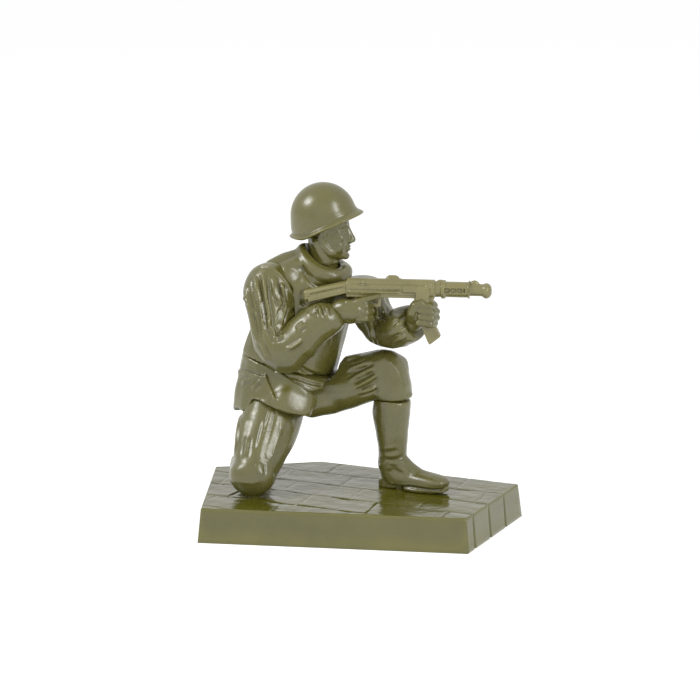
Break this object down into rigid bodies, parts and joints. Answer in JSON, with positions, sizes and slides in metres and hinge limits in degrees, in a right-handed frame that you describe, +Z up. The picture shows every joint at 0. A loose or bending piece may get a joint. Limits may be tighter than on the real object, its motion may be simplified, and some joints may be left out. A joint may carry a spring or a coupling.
{
  "type": "toy soldier figure",
  "caption": "Kneeling plastic toy soldier aiming a submachine gun, on a hollow paved stand; waist and neck turn, helmet and stand come off.",
  "frame": {"origin": "middle of the stand's underside", "axes": "+X the way the soldier aims, +Y away from the viewer of the picture, +Z up"},
  "size_m": [0.0422, 0.0252, 0.0442],
  "materials": {
    "stand_plastic": "glossy olive green moulded plastic",
    "figure_plastic": "semi-gloss olive green moulded plastic",
    "gun_plastic": "semi-gloss pale olive moulded plastic"
  },
  "bodies": {
    "stand_body": {"stand": "stand_plastic"},
    "lower_body": {"coat_skirt": "figure_plastic", "right_leg": "figure_plastic", "right_boot": "figure_plastic", "left_leg": "figure_plastic", "left_boot": "figure_plastic"},
    "upper_body": {"torso_front": "figure_plastic", "torso_back": "figure_plastic", "right_arm": "figure_plastic", "right_hand": "figure_plastic", "left_arm": "figure_plastic", "left_hand": "figure_plastic", "gun": "gun_plastic", "gun_magazine": "gun_plastic"},
    "head_body": {"head": "figure_plastic"},
    "helmet_body": {"helmet": "figure_plastic"}
  },
  "joints": [
    {"name": "base_lift", "type": "slide", "parent": "stand_body", "child": "lower_body", "axis": [0, 0, 1], "range_m": [0, 0.006]},
    {"name": "waist_turn", "type": "hinge", "parent": "lower_body", "child": "upper_body", "pos_m": [-0.0094, 0.0029, 0.0204], "axis": [0.2787, -0.0653, 0.9581], "range_deg": [-12, 15]},
    {"name": "neck_turn", "type": "hinge", "parent": "upper_body", "child": "head_body", "pos_m": [-0.00483, 0.00215, 0.0329], "axis": [0, 0, 1], "range_deg": [-35, 35]},
    {"name": "helmet_lift", "type": "slide", "parent": "head_body", "child": "helmet_body", "axis": [0, 0, 1], "range_m": [0, 0.01]}
  ]
}
